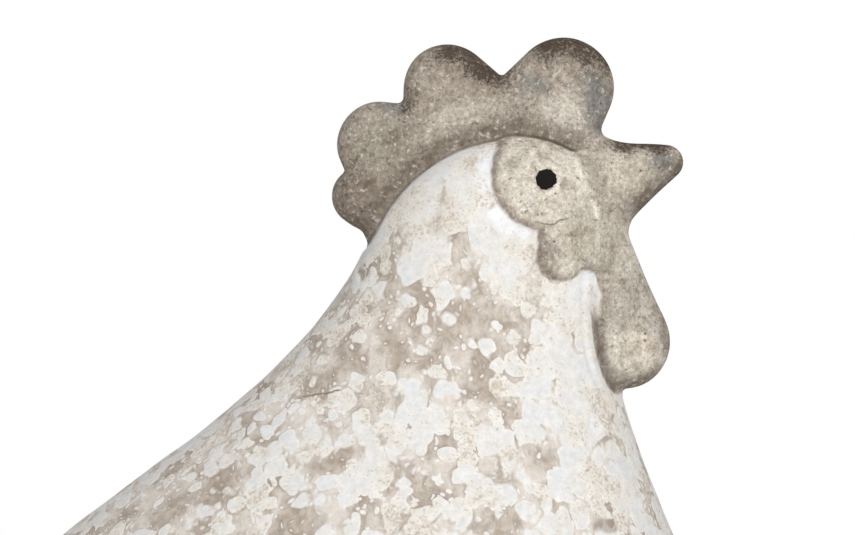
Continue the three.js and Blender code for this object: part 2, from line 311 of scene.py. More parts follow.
# %% Volumes
BEAK_ROOT, BEAK_TIP = (83.7, 253, 16), (109.8, 262.8, 5.15)
WING_HALF = (70, 17, 34)
WING_X, WING_Z = -10, 100
WING_TURN, WING_TILT = 8, -8
TAIL_ROOT = (-85, 94, 36)
TAIL_TIPS = ((-136, 155, 14), (-143, 137, 13), (-140, 118, 14))
EYE = (73.05 * grow, 257.05 * grow)
FACE_DISCS = (
    (73.3, 258.2, 16.3), (75.0, 262.5, 16.5), (88, 247, 17), (76, 240.5, 5.6), (77.4, 234.6, 7.3),
)
FOLD = (
    (187, 97), (192.9, 93.3), (194.7, 91.8), (198.9, 89.7), (203.1, 88.5), (209.4, 87.3), (219.9, 86.4),
    (236, 87),
)
RIDGES = ((0.45, (82.2, 264), (88.2, 247.8), 1.5), (0.5, (91, 270.6), (85.5, 266.8), 1.1))
CRACKS = (
    (0.35, (71.5, 243.9), (75, 243.7), 0.5), (0.3, (75, 243.7), (79, 245.5), 0.5),
    (0.35, (82.5, 236.5), (82.2, 232.8), 0.5), (0.9, (18.3, 230.6), (18.9, 228), 0.9),
    (0.5, (15.3, 262.8), (17.2, 261.4), 0.7),
)
LOBES = ((79, 284.85, 15.15), (44.3, 284.7, 13.3), (24.1, 268, 12.9), (18, 252.6, 8.5))


def face_distance(x, z):
    """Distance to the bare face's outline: discs round the eye, over the brow, on the cheek and for the ear
    lobe."""
    outline = 1e3
    for cx, cz, radius in FACE_DISCS:
        outline = soft_min(outline, np.hypot(x - cx * grow, z - cz * grow) - radius * grow, 1.0)
    return outline


def bead(x, z, start, end, width):
    """1 along a straight line in the middle plane, falling away beside it by the bell curve of that half
    width."""
    ax, az, bx, bz = (v * grow for v in (*start, *end))
    length = (bx - ax) ** 2 + (bz - az) ** 2
    share = np.clip(((x - ax) * (bx - ax) + (z - az) * (bz - az)) / length, 0, 1)
    away = np.hypot(x - ax - share * (bx - ax), z - az - share * (bz - az))
    return np.exp(-(away / (width * grow)) ** 2)


def head_and_body(x, y, z):
    """The carcass with the wings, the tail's fan and the foot run into it, and the bare face raised a
    little."""
    field = carcass(x, y, z)
    turn, tilt = np.radians(WING_TURN), np.radians(WING_TILT)
    wing_half = np.array(WING_HALF) * grow
    reach = np.hypot(wing_half[0] * np.sin(turn), wing_half[1] * np.cos(turn))
    wing_place = (WING_X * grow, WING_WIDTH / 2 - reach, WING_Z * grow)
    field = soft_min(field, ball(x, np.abs(y), z, wing_place, wing_half, tilt, turn), 5)
    fan = horn(x, y, z, TAIL_ROOT, TAIL_TIPS[0], TAIL_WIDTH)
    for tip in TAIL_TIPS[1:]:
        fan = soft_min(fan, horn(x, y, z, TAIL_ROOT, tip, TAIL_WIDTH), 4)
    field = soft_min(field, fan, 12)
    face = 1 - smooth_step(face_distance(x, z), -0.5, 0.6)
    field = field - FACE_RELIEF * face * smooth_step(z, 215 * grow, 222 * grow)
    return soft_min(field, foot(x, y, z), 2.5)


def foot(x, y, z):
    """A low oval slab: a plate lying down, with the oval's distance k0 (k0 - 1) / k1 for its outline."""
    half_x, half_y = FOOT_LENGTH / 2, FOOT_WIDTH / 2
    k0 = np.sqrt((x / half_x) ** 2 + (y / half_y) ** 2) + 1e-6
    k1 = np.sqrt((x / half_x ** 2) ** 2 + (y / half_y ** 2) ** 2) + 1e-9
    oval = k0 * (k0 - 1) / k1
    half_up = FOOT_HEIGHT / 2
    return plate(oval, z - half_up, half_up, FOOT_EDGE)


def comb(x, y, z):
    """The comb's plate, a little fuller over each lobe."""
    fuller = 0
    for cx, cz, radius in LOBES:
        square = (x - cx * grow) ** 2 + (z - cz * grow) ** 2
        fuller = fuller + np.exp(-square / (0.8 * radius * grow) ** 2)
    half = COMB_THICKNESS / 2 + 0.6 * np.clip(fuller, 0, 1) - 0.3
    return plate(belt_distance(x, z, comb_belt), y, half, COMB_EDGE)


def wattle(x, y, z):
    """The wattle's plate, fuller at the throat, with the heavy drop at its low end."""
    flap = plate(belt_distance(x, z, wattle_belt), y, WATTLE_THICKNESS / 2, WATTLE_EDGE)
    throat = ball(x, y, z, (94.5 * grow, 0, 221 * grow), (8 * grow, THROAT_WIDTH / 2, 16 * grow))
    place = (DROP[0] * grow, 0, DROP[1] * grow)
    drop_reach = DROP[2] * grow
    drop = ball(x, y, z, place, (drop_reach, WATTLE_BULGE / 2, drop_reach))
    return soft_min(soft_min(flap, throat, 3), drop, 3)


def fold_across(x, z):
    """How far a point lies in front of the fold where the wattle leaves the breast, read off its rail by
    height."""
    fold_z, fold_x = np.array(FOLD).T * grow
    return x - np.interp(z, fold_z, fold_x)


def beak(x, y, z):
    """The stout beak: one horn from the face to a round tip."""
    return horn(x, y, z, BEAK_ROOT, BEAK_TIP, BEAK_WIDTH)


def eye_pit(x, y, z):
    """A punched hole with a round bottom: the distance to its wall and to its floor, with a soft corner."""
    share = np.sqrt(1 - ((EYE[1] - cheek_z) / face_rise) ** 2)
    skin = HEAD_WIDTH / 2 * share + FACE_RELIEF
    angle = np.arctan2(z - EYE[1], x - EYE[0])
    rough = 0.05 * np.sin(3 * angle + 1.1) + 0.05 * np.sin(5 * angle + 0.4) + 0.05 * np.sin(9 * angle)
    wall = np.hypot(x - EYE[0], z - EYE[1]) - EYE_DIAMETER / 2 - rough
    floor = (skin - EYE_DEPTH) - np.abs(y)
    return soft_max(wall, floor, 2.0)


def hen(x, y, z):
    """The whole casting in one field."""
    body = head_and_body(x, y, z)
    bill = beak(x, y, z)
    flap = wattle(x, y, z)
    crest = comb(x, y, z)
    field = soft_min(body, bill, 3.5)
    field = soft_min(field, flap, 3.0)
    field = soft_min(field, crest, 1.2 + 4.0 * smooth_step(x, 79 * grow, 86 * grow))
    behind = smooth_step(x, 86 * grow, 80 * grow)
    cove = np.exp(-(crest / 1.4) ** 2 - ((body - 1.6) / 2.4) ** 2) * behind
    crease = np.exp(-(crest / 0.8) ** 2 - (body / 0.8) ** 2) * behind
    across = fold_across(x, z)
    side = smooth_step(np.abs(y), 4, 6) * smooth_step(z, 190 * grow, 197 * grow)
    gutter = np.exp(-((across - 1.5) / 1.7) ** 2) * side * smooth_step(-z, -228 * grow, -216 * grow)
    roll = np.exp(-((across + 1.4) / 1.5) ** 2) * side * smooth_step(-z, -233 * grow, -228 * grow)
    roll = roll * (0.55 + 0.25 * np.sin(z / 5.3) + 0.2 * np.sin(z / 2.1 + 1))
    field = field + 0.7 * cove + 0.7 * crease + 1.3 * gutter - 0.7 * roll
    field = field + scars(x, y, z)
    return soft_max(field, -eye_pit(x, y, z), 0.4)


def scars(x, y, z):
    """Marks on the casting: soft ridges on both sides, and on one side the cracks and nicks that age gave
    it."""
    on_side = smooth_step(np.abs(y), 4, 7)
    ridges = sum(height * bead(x, z, *line) for height, *line in RIDGES)
    cracks = sum(depth * bead(x, z, *line) for depth, *line in CRACKS)
    return cracks * (y < 0) * on_side - ridges * on_side


print("field in the middle of the body, in mm:", hen(*np.array([[0.0], [0.0], [100.0]])).round(1))

# %% [markdown]
# ## Small accidents of casting
#
# A mould never gives a true surface. The wet mix slumps, the mould flexes, and the caster's thumb dresses the
# seams. A few slow waves, a third of a millimetre deep, take away the drawn look. They are sums of sines,
# which repeat exactly on every run.


# %% Waves
def waves(x, y, z, longest, seed, count=5):
    """A sum of sines across space, each along its own direction, from the longest wavelength down to half of
    it. The result lies between -1 and 1."""
    dice = np.random.default_rng(seed)
    total = 0
    for n in range(count):
        direction = dice.normal(size=3)
        direction = direction / np.linalg.norm(direction)
        length = longest * grow * (1 - 0.5 * n / count)
        phase = dice.uniform(0, 2 * np.pi)
        along = x * direction[0] + y * direction[1] + z * direction[2]
        total = total + np.sin(along * 2 * np.pi / length + phase)
    return total / count


def cast_hen(x, y, z):
    """The hen's field with the slow waves of the casting, which fade out at the ground so that it stands
    flat."""
    long_waves = 0.45 * waves(x, y, z, 44, 7) * smooth_step(-z, -215 * grow, -180 * grow)
    lumps = long_waves + 0.16 * waves(x, y, z, 17, 11)
    return hen(x, y, z) + lumps * smooth_step(z, 3, 14)


print("and with the waves of the casting:", cast_hen(*np.array([[0.0], [0.0], [100.0]])).round(1))

# %% [markdown]
# ## From field to mesh
#
# Surface nets turn a field into a mesh: space is cut into cells, each cell that the skin passes through gets
# one vertex, and each cell edge that crosses the skin gets one face. The cells are small round the head,
# where the carving is, and larger down the body. Newton's step then moves each vertex onto the true skin: the
# field's value, divided by its slope, along its slope.


# %% Surface nets
def graded(breaks):
    """Grid lines from a list of (start, step) pairs, where each stretch runs to the next start."""
    lines = [np.arange(a, b, step) for (a, step), (b, _) in zip(breaks, breaks[1:])]
    return np.concatenate(lines + [[breaks[-1][0]]])


def surface_net(xs, ys, zs, values):
    """One vertex for each cell with mixed signs, at the mean of its crossings, and a face for each
    crossing."""
    inside = values < 0
    corners = list(np.ndindex(2, 2, 2))
    wide, deep, tall = (n - 1 for n in inside.shape)
    count = sum(inside[i:i + wide, j:j + deep, k:k + tall].astype(np.int8) for i, j, k in corners)
    active = (count > 0) & (count < 8)
    ci, cj, ck = np.nonzero(active)
    number = np.full(active.shape, -1, np.int32)
    number[active] = np.arange(len(ci))
    total = np.zeros((len(ci), 3))
    crossings = np.zeros(len(ci))
    for a in corners:
        for axis in (0, 1, 2):
            if a[axis]:
                continue
            b = tuple(v + (n == axis) for n, v in enumerate(a))
            fa = values[ci + a[0], cj + a[1], ck + a[2]]
            fb = values[ci + b[0], cj + b[1], ck + b[2]]
            cross = (fa < 0) != (fb < 0)
            share = np.where(cross, fa / np.where(cross, fa - fb, 1), 0)
            pa = np.stack([xs[ci + a[0]], ys[cj + a[1]], zs[ck + a[2]]], 1)
            pb = np.stack([xs[ci + b[0]], ys[cj + b[1]], zs[ck + b[2]]], 1)
            total += cross[:, None] * (pa + share[:, None] * (pb - pa))
            crossings += cross
    points = total / crossings[:, None]
    faces = []
    for axis in (0, 1, 2):
        one, two = [n for n in (0, 1, 2) if n != axis]
        lower = [slice(1, -1)] * 3
        upper = [slice(1, -1)] * 3
        lower[axis], upper[axis] = slice(0, -1), slice(1, None)
        change = inside[tuple(lower)] != inside[tuple(upper)]
        at = list(np.nonzero(change))
        base = [at[n] + (n != axis) for n in (0, 1, 2)]
        leaves = inside[tuple(base)]
        ring = []
        for back_one, back_two in ((1, 1), (0, 1), (0, 0), (1, 0)):
            cell = list(base)
            cell[one] = base[one] - back_one
            cell[two] = base[two] - back_two
            ring.append(number[tuple(cell)])
        quad = np.stack(ring, 1)
        flip = leaves if axis != 1 else ~leaves
        quad = np.where(flip[:, None], quad, quad[:, ::-1])
        faces.append(quad)
    return points, np.concatenate(faces)


def slope_of(function, points, step=0.05):
    """The field's slope at each point, by differences of two steps along each axis."""
    columns = []
    for axis in (0, 1, 2):
        offset = np.zeros(3)
        offset[axis] = step
        ahead = function(*(points + offset).T)
        behind = function(*(points - offset).T)
        columns.append((ahead - behind) / (2 * step))
    return np.stack(columns, 1)


def settle(function, points, rounds=3, reach=1.2):
    """Newton's step onto the skin, a few times, never further than reach in one round."""
    for _ in range(rounds):
        value = function(*points.T)
        slope = slope_of(function, points)
        move = value[:, None] * slope / np.maximum((slope ** 2).sum(1), 0.05)[:, None]
        size = np.linalg.norm(move, axis=1)
        points = points - move * np.minimum(1, reach / np.maximum(size, 1e-9))[:, None]
    return points


def sample(function, xs, ys, zs, block=4):
    """The field on a grid of lines. It is worked out on every fourth line first, and then only inside the
    blocks that have a corner nearer to the skin than the block is long; elsewhere the block's first corner
    stands for it."""
    lines = (xs, ys, zs)
    picks = [np.unique(np.append(np.arange(0, len(line), block), len(line) - 1)) for line in lines]
    coarse = [line[pick] for line, pick in zip(lines, picks)]
    rough = function(*np.ix_(*coarse))
    span_x, span_y, span_z = np.ix_(*[np.diff(line) for line in coarse])
    long = np.sqrt(span_x ** 2 + span_y ** 2 + span_z ** 2)
    away = np.abs(rough)
    for axis in (0, 1, 2):
        away = np.minimum(np.delete(away, 0, axis), np.delete(away, -1, axis))
    near = away < 1.1 * long
    homes = [
        np.searchsorted(pick, np.arange(len(line)), side="right") - 1
        for line, pick in zip(lines, picks)
    ]
    values = rough[np.ix_(*homes)]
    cells = near[np.ix_(*[np.minimum(home[:-1], len(pick) - 2) for home, pick in zip(homes, picks)])]
    wanted = np.zeros(values.shape, bool)
    wide, deep, tall = cells.shape
    for i, j, k in np.ndindex(2, 2, 2):
        wanted[i:i + wide, j:j + deep, k:k + tall] |= cells
    i, j, k = np.nonzero(wanted)
    values[wanted] = function(xs[i], ys[j], zs[k])
    return values


xs = graded([(-160, 3.0), (2, 1.6), (10, 0.95), (116, 2.0), (132, 0)]) * grow
half_ys = graded([(0.475, 0.95), (25, 1.5), (34, 3.0), (88, 0)]) * grow
ys = np.concatenate([-half_ys[::-1], half_ys])
zs = graded([(-3, 1.5), (15, 3.0), (150, 1.6), (200, 0.95), (304, 0)]) * grow
values = sample(cast_hen, xs, ys, zs)
points, quads = surface_net(xs, ys, zs, values)
print("grid", values.shape, "vertices", len(points), "triangles", 2 * len(quads))
points = settle(cast_hen, points)
print("largest distance left to the skin, in mm:", round(float(np.abs(cast_hen(*points.T)).max()), 4))

# %% [markdown]
# ## What each point of the skin belongs to
#
# The finish follows the form: lime wash on the body, bare cement on the comb, beak, wattle and face, dirt
# where rain leaves it. All this could be painted on by hand. Here each mark is worked out once for each
# vertex from the same volumes that made the skin, so it can't drift off the carving, and the material reads
# it as a named attribute.


# %% Where the bare cement shows
def linear(hex_colour):
    """An sRGB hex colour as linear light: ((c + 0.055) / 1.055)^2.4 for each channel, or c / 12.92 near
    black."""
    channels = np.array([int(hex_colour[i:i + 2], 16) for i in (1, 3, 5)]) / 255
    return np.where(channels <= 0.04045, channels / 12.92, ((channels + 0.055) / 1.055) ** 2.4)


def soft_oval(x, z, place, half, lean=0.0):
    """1 in the middle of a leaning oval, falling to 0 at its edge by the smooth step."""
    dx = x - place[0] * grow
    dz = z - place[1] * grow
    angle = np.radians(lean)
    along = (dx * np.cos(angle) + dz * np.sin(angle)) / (half[0] * grow)
    across = (dz * np.cos(angle) - dx * np.sin(angle)) / (half[1] * grow)
    return 1 - smooth_step(np.sqrt(along ** 2 + across ** 2), 0.35, 1)


MARK_REACH = 6.0
LINE_REACH = 9.0
x, y, z = points.T
wobble_x = x + 1.6 * waves(x, y, z, 12, 21)
wobble_z = z + 1.6 * waves(x, y, z, 12, 22)
d_body = head_and_body(x, y, z)
d_comb = comb(x, y, z)
d_beak = beak(x, y, z)
d_wattle = wattle(x, y, z)
d_face = face_distance(x, z)
across = fold_across(x, z)
d_root = np.hypot(x - 95 * grow, z - 199.4 * grow) - 4.4 * grow
flap_edge = np.minimum(belt_distance(x, z, wattle_belt), d_root)
d_throat = np.hypot(x - 96 * grow, z - 238 * grow) - 10 * grow
on_limbs = d_body - np.minimum(d_comb, d_beak)
rise = z / grow - 223.8
splash = 3.0 * (np.hypot((x / grow - 86.9 + 0.2 * rise) / 2.7, rise / 7.2) - 1) + 0.5 * waves(x, y, z, 5, 31)
on_flap = np.minimum(np.minimum(across + 0.2, splash), np.minimum(1.2 - flap_edge, 4.2 - d_wattle))
on_flap = np.where(z < FOLD[-1][0] * grow, on_flap, -MARK_REACH)
bare_mm = np.maximum(np.maximum(on_limbs, -np.minimum(d_face, d_throat)), on_flap)
bare_mm = np.clip(bare_mm, -MARK_REACH, MARK_REACH)
# Painted shade: seam_mm is zero along the crease under the comb, where a thin dark line is drawn, and
# seam_here says how strongly it shows.
seam_mm = np.clip(d_body - d_comb, -MARK_REACH, MARK_REACH)
seam_here = (0.6 + 0.3 * smooth_step(x, 55 * grow, 78 * grow)) * smooth_step(-x, -83.5 * grow, -81 * grow)
on_comb = smooth_step(np.minimum(d_body, np.minimum(d_beak, d_wattle)) - d_comb, -0.6, 0.6)
on_beak = smooth_step(np.minimum(d_body, np.minimum(d_comb, d_wattle)) - d_beak, -2.5, 2.5)
on_wattle = smooth_step(on_flap, -0.6, 0.8) * smooth_step(-z, -238 * grow, -226 * grow)
print("share of the skin that is bare:", round(float((bare_mm > 0).mean()), 3))

# %% [markdown]
# ## The tones of the bare cement
#
# Weathered cement isn't one grey: it is pale and warm where rain washes it, and slate or brown in other
# places. Some of these tones are painted shade: darker grey and brown on rims that turn away from the lamps,
# under the beak, inside the face's raised edge, beside the ear lobe and in the creases under the comb and
# along the wattle. A few pale lines are painted highlights on the ridges and round the eye. Each tone is a
# soft leaning oval laid against the photo: its colour, its middle, its half sizes and its lean in degrees.

# %% Cement tones
COMB_TONES = (
    ("#c9c2b7", (79.5, 277), (11, 10), 0),
    # Painted shade: the next two tones darken the first lobe's right rim, which turns away from the lamps.
    ("#858480", (88.5, 282), (6.5, 10), 8),
    ("#8d8a84", (89.5, 274), (4, 6), 0),
    ("#8f8c86", (70, 285.5), (5.5, 6), -10),
    ("#bcb4a8", (48, 274), (18, 8), 12),
    ("#8d8b85", (28, 279.5), (6, 3), 0),
    ("#9b9486", (25, 268), (11, 10), 0),
    ("#8b8075", (17, 250), (10, 13), 0),
)
BEAK_TONES = (
    ("#c8c0b3", (97, 259), (13, 7), 12),
    ("#85837e", (108, 263), (6, 4.5), 15),
    ("#87806f", (114.5, 262), (3, 7), -20),
)
WATTLE_TONES = (
    ("#d3cabe", (101, 207), (9, 8), -40),
    # Painted shade: the next two tones darken the wattle's right edge and its underside, which turn away from
    # the lamps.
    ("#9b9288", (110, 212), (4, 18), 12),
    ("#8f857b", (101, 197), (13, 3.5), 10),
)


def tinted(base, tones):
    """A base colour with soft ovals of other tones laid over it, each by its own soft oval."""
    colour = np.broadcast_to(linear(base), (len(points), 3)).copy()
    for tone, place, half, lean in tones:
        share = soft_oval(wobble_x, wobble_z, place, half, lean)[:, None]
        colour = colour + (linear(tone) - colour) * share
    return colour


def toned(colour, tint, share):
    """Another tone laid over a colour by a share for each vertex."""
    return colour + (linear(tint) - colour) * np.clip(share, 0, 1)[:, None]


step = 0.2
face_slope_x = (face_distance(x + step, z) - face_distance(x - step, z)) / (2 * step)
face_slope_z = (face_distance(x, z + step) - face_distance(x, z - step)) / (2 * step)
shaded_side = np.clip(0.25 - 0.9 * face_slope_x - 0.45 * face_slope_z, 0, 1)
by_crown = soft_oval(wobble_x, wobble_z, (50, 252), (60, 46))
in_fold = np.exp(-((across - 1.5) / 1.8) ** 2) * smooth_step(-z, -226 * grow, -212 * grow)
from_eye = np.hypot(x - EYE[0], z - EYE[1])
tone = tinted("#d1cabe", (("#bcb5a8", (88, 239), (15, 17), 0),))
# Painted shade: brown just inside the face's raised edge on the side away from the lamps, and next a painted
# shadow down the ear lobe's left side.
tone = toned(tone, "#83766a", 0.75 * shaded_side * np.exp(-((d_face + 0.7) / 1.4) ** 2))
tone = toned(tone, "#7d7064", 0.6 * soft_oval(x, z, (73.5, 235.5), (4.5, 8), 10))
for base, tones, share in (
    ("#a79e92", COMB_TONES, on_comb), ("#b2a99c", BEAK_TONES, on_beak), ("#b6afa4", WATTLE_TONES, on_wattle),
):
    tone += (tinted(base, tones) - tone) * share[:, None]
for tint, share in (
    # Painted shade along the beak's underside, which faces down.
    ("#665e55", 0.78 * on_beak * bead(x, z, (96.9, 243.6), (113.1, 258.8), 3.9)),
    # Painted shade in the small crease beside the ridge where the face meets the beak.
    ("#8d857c", 0.45 * bead(x, z, (85.9, 264), (92.4, 247), 2.2)),
    # Painted shade: a soft brown shadow on the comb just above its crease with the head.
    ("#786e63", 0.85 * on_comb * by_crown * np.exp(-((d_body - 2.5) / 3.6) ** 2)),
    # Painted shade in the fold where the wattle leaves the breast.
    ("#756964", 0.7 * on_wattle * in_fold),
    ("#ddd7cc", 0.7 * on_wattle * soft_oval(wobble_x, wobble_z, (94.5, 207), (4.5, 11), 18)),
    # Painted highlights: the next two pale lines run along the ridges where the light catches them.
    ("#e6e0d5", 0.9 * bead(x, z, (82.4, 263), (88.6, 246), 0.9)),
    ("#cdbfb4", 0.6 * bead(x, z, (91, 270.6), (85.5, 266.8), 1.3)),
    # Painted highlight: a pale ring on the eye pit's rim.
    ("#e6dfd2", 0.6 * np.exp(-((from_eye - 4.3) / 0.8) ** 2)),
):
    tone = toned(tone, tint, share)
print("mean tone, as linear light:", tone.mean(axis=0).round(3))

# %% [markdown]
# ## Soot
#
# Brown soot settles on what faces the sky: the tops of the comb's lobes and the beak. It could be read off
# the way that the skin faces, but then it would lie on the back too, which is clean. So it is placed by
# ovals, and fades down from the comb's own rim. Off the comb and the beak it goes a little below zero, which
# keeps stray specks away.

# %% Soot
rim_mm = -belt_distance(x, z, comb_belt)
upper_rim = 1 - smooth_step(rim_mm, 1.0, 12.0)
soot = on_comb * upper_rim * (
    0.85 * soft_oval(wobble_x, wobble_z, (82, 299), (21, 15), -20)
    + 0.85 * soft_oval(wobble_x, wobble_z, (51, 293), (19, 13), -28)
    + 0.4 * soft_oval(wobble_x, wobble_z, (33, 281), (6, 6))
    + 0.25 * soft_oval(wobble_x, wobble_z, (17, 258), (12, 10))
)
beak_top = soft_oval(wobble_x, wobble_z, (100, 270), (19, 6.5), -3)
soot = np.clip(soot + on_beak * beak_top, 0, 1)
soot = soot - 0.16 * (1 - on_comb) * (1 - on_beak)
print("share of the skin with dirt on it:", round(float((soot > 0.3).mean()), 3))

# %% [markdown]
# ## Thick and worn wash
#
# The wash lies thickest where the brush turned: behind the face, under the comb and along the fold of the
# wattle. It has worn through in patches down the neck and flank. Below zero, the stained mark says where the
# wash has melted instead, so that its flecks run together. Two marks do all this, because the flecks only
# need to know how far to reach.

# %% Thick and worn wash
behind_face = smooth_step(-x, -72 * grow, -66 * grow) * smooth_step(z, 232 * grow, 242 * grow)
thick = 0.95 * np.exp(-((d_face - 2.5) / 3.6) ** 2) * behind_face * (d_body < d_comb)
for heap in (
    0.7 * np.exp(-(np.clip(d_comb - 1, 0, None) / 4.0) ** 2),
    0.65 * np.exp(-((across + 1.2) / 2.2) ** 2) * soft_oval(x, z, (87, 213), (16, 34)),
    0.75 * (splash < 0) * soft_oval(x, z, (87, 225), (6, 10)),
    0.30 * soft_oval(wobble_x, wobble_z, (80, 205), (12, 34), 0),
    0.95 * soft_oval(wobble_x, wobble_z, (88, 189), (4.5, 10), 5),
    0.24 * soft_oval(wobble_x, wobble_z, (60, 250), (26, 18), -35),
    0.25 * soft_oval(wobble_x, wobble_z, (92, 178), (12, 30), 0),
):
    thick = np.maximum(thick, heap)
PATCHES = (
    (47.4, 236, 2.8, 5.5, 0), (48.8, 220.2, 2, 3, 0), (60.5, 217.6, 2.6, 3, 20), (40.4, 215.5, 2.2, 2.2, 0),
    (47.6, 200.7, 2, 2, 0), (23, 195, 1.6, 5, 15), (54.6, 193.2, 2.2, 2, 0), (31, 204, 15, 3.2, 0),
    (8, 200, 10, 3, 35), (62, 190, 3, 3.4, 0), (37, 170, 4, 3, 0), (12, 176, 8, 3, 20), (70, 176, 4, 3, 0),
    (89, 157.2, 3.2, 2, 0), (-22, 168, 9, 3.4, 30), (1, 159, 5, 4, 0), (58, 160, 6, 3, -10),
    (-38, 160, 8, 3, 30),
)
stained = 0.6 * soft_oval(wobble_x, wobble_z, (44, 214), (36, 22), -10)
for px, pz, half_x, half_z, lean in PATCHES:
    stained = np.maximum(stained, soft_oval(wobble_x, wobble_z, (px, pz), (1.5 * half_x, 1.5 * half_z), lean))
stained = stained - 0.5 * soft_oval(wobble_x, wobble_z, (52, 247), (32, 30), -25)
print("share of the skin where the wash is worn:", round(float((stained > 0.3).mean()), 3))

# %% [markdown]
# ## Hollows
#
# Wash and dirt gather in hollows, and the hollows are darkened with painted shade as well. How hollow a point
# is comes from the field itself: a step of 1.2 and of 3 mm is taken straight out from the skin, and where the
# field is smaller there than the step, other skin is near. Three chips, on the photographed side only, count
# as hollows too.

# %% Hollows
normal = slope_of(cast_hen, points)
normal = normal / np.linalg.norm(normal, axis=1)[:, None]
hollow = 0
for probe in (1.2, 3.0):
    hollow = hollow + (probe - cast_hen(*(points + probe * normal).T)) / probe / 2
hollow = np.clip(hollow, 0, 1)
CHIPS = ((89.3, 156.8, 3.0, 1.8), (18.7, 229.3, 0.9, 1.4), (62.6, 214.4, 1.8, 1.2))
on_photo_side = y < 0
for chip_x, chip_z, half_x, half_z in CHIPS:
    chip = soft_oval(wobble_x, wobble_z, (chip_x, chip_z), (1.5 * half_x, 1.5 * half_z))
    hollow = np.maximum(hollow, 1.2 * chip * on_photo_side)
print("deepest hollow:", round(float(hollow.max()), 2))

# %% [markdown]
# ## Cracks
#
# The casting has a crack below the eye and a hairline on the flank. Both are thinner than the mesh's cells,
# so each is a line drawn on the skin: one mark is zero along it, in mm, and another says how strongly it
# shows.

# %% Cracks
FACE_CRACK = ((70.6, 244.6), (72.3, 243.7), (74.7, 243.5), (76.8, 244.8), (79.2, 245.5), (82.5, 245.1))
FLANK_CRACK = ((2.0, 193.4), (5, 194.2), (9.5, 194.7), (14, 196))
FLANK_ENDS = 40.0


def crack_line(route, fade):
    """How far a point lies above a crack, read off its route by x, and a window that is 1 between the crack's
    ends."""
    route_x, route_z = np.array(route).T * grow
    above = np.clip(z - np.interp(x, route_x, route_z), -LINE_REACH, LINE_REACH)
    first, last = route_x[0], route_x[-1]
    return above, smooth_step(x, first - 1, first + 1) * smooth_step(-x, fade[0] - last, fade[1] - last)


crack_mm, crack_here = crack_line(FACE_CRACK, (1, 5))
flank_mm, flank_here = crack_line(FLANK_CRACK, (0, 1.5))
crack_mm = np.where(x < FLANK_ENDS * grow, flank_mm, crack_mm)
crack_here = (crack_here + flank_here) * on_photo_side
# Painted shade: fold_here says how strongly a thin grey line shows beside the ridge along the wattle's fold.
fold_here = 0.3 * soft_oval(x, z, (87, 210), (30, 22)) * (0.5 + 0.5 * waves(x, y, z, 9, 41))
print("share of the skin within a crack's window:", round(float((crack_here > 0.5).mean()), 3))

# %% [markdown]
# ## The mesh
#
# Blender takes the vertices in metres. Everything is smooth-shaded, because a cast skin has no facets. The
# marks go in as attributes, one value or one colour for each vertex.


# %% Build the mesh
def make_mesh(name, points, quads, marks):
    """Vertices, four-sided faces and named marks become a Blender mesh through foreach_set."""
    mesh = bpy.data.meshes.new(name)
    mesh.vertices.add(len(points))
    mesh.vertices.foreach_set("co", (points * MM).astype(np.float32).ravel())
    mesh.loops.add(quads.size)
    mesh.loops.foreach_set("vertex_index", quads.astype(np.int32).ravel())
    mesh.polygons.add(len(quads))
    mesh.polygons.foreach_set("loop_start", np.arange(0, quads.size, 4, dtype=np.int32))
    for mark, values in marks.items():
        kind = "FLOAT_COLOR" if values.ndim == 2 else "FLOAT"
        layer = mesh.attributes.new(mark, kind, "POINT")
        if kind == "FLOAT_COLOR":
            rgba = np.concatenate([values, np.ones((len(values), 1))], 1)
            layer.data.foreach_set("color", rgba.astype(np.float32).ravel())
        else:
            layer.data.foreach_set("value", values.astype(np.float32))
    mesh.update(calc_edges=True)
    mesh.validate()
    mesh.shade_smooth()
    return mesh


marks = {
    "tone": tone, "bare_mm": bare_mm, "seam_mm": seam_mm, "seam_here": seam_here,
    "crack_mm": crack_mm, "crack_here": crack_here,
    "fold_mm": np.clip(across, -LINE_REACH, LINE_REACH), "fold_here": fold_here,
    "soot": soot, "thick": thick, "stained": stained, "hollow": hollow,
}
figurine = bpy.data.objects.new("hen_figurine", make_mesh("hen_figurine", points, quads, marks))
bpy.context.scene.collection.objects.link(figurine)
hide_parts("hen_casting")
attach(figurine, "root")
print("piece:", figurine.name, len(figurine.data.vertices), "vertices")

# %% [markdown]
# ## Lime wash over cast cement
#
# Common name: lime-washed cement, brushed on thick and left to flake. The wash dries chalk white and dead
# matt, in raised flecks with round lobed edges. Between them a thin tan stain of lime water has dried in tide
# marks. Where the wash is gone the eye sees sandy cement, streaked by rain, with pinholes, and soot on top.
#
# A picture could be wrapped round the hen, but it would stretch and blur. Here every pattern is made of noise
# and cells in real millimetres, and the marks above say where each one shows.

# %% One node at a time
def add(tree, kind, inputs=(), take=0, stops=(), **settings):
    """Adds a node and gives one of its output sockets, by number or name. Inputs are values, sRGB hex colours
    or other nodes' sockets, in the sockets' order or by name; stops are a colour ramp's; settings are the
    node's own."""
    made = tree.nodes.new(kind)
    for name, value in settings.items():
        setattr(made, name, value)
    for name, value in inputs.items() if isinstance(inputs, dict) else enumerate(inputs):
        if isinstance(value, bpy.types.NodeSocket):
            tree.links.new(value, made.inputs[name])
        else:
            made.inputs[name].default_value = (*linear(value), 1) if isinstance(value, str) else value
    for number, (place, colour) in enumerate(stops):
        element = made.color_ramp.elements[number] if number < 2 else made.color_ramp.elements.new(place)
        element.position = place
        element.color = (*linear(colour), 1)
    return made.outputs[take] if made.outputs else None


def per_mm(size):
    """A texture's Scale for features of that size, since Object coordinates are in metres."""
    return 1 / (size * MM * grow)


print("scale for grains of 1 mm:", round(per_mm(1.0), 1))

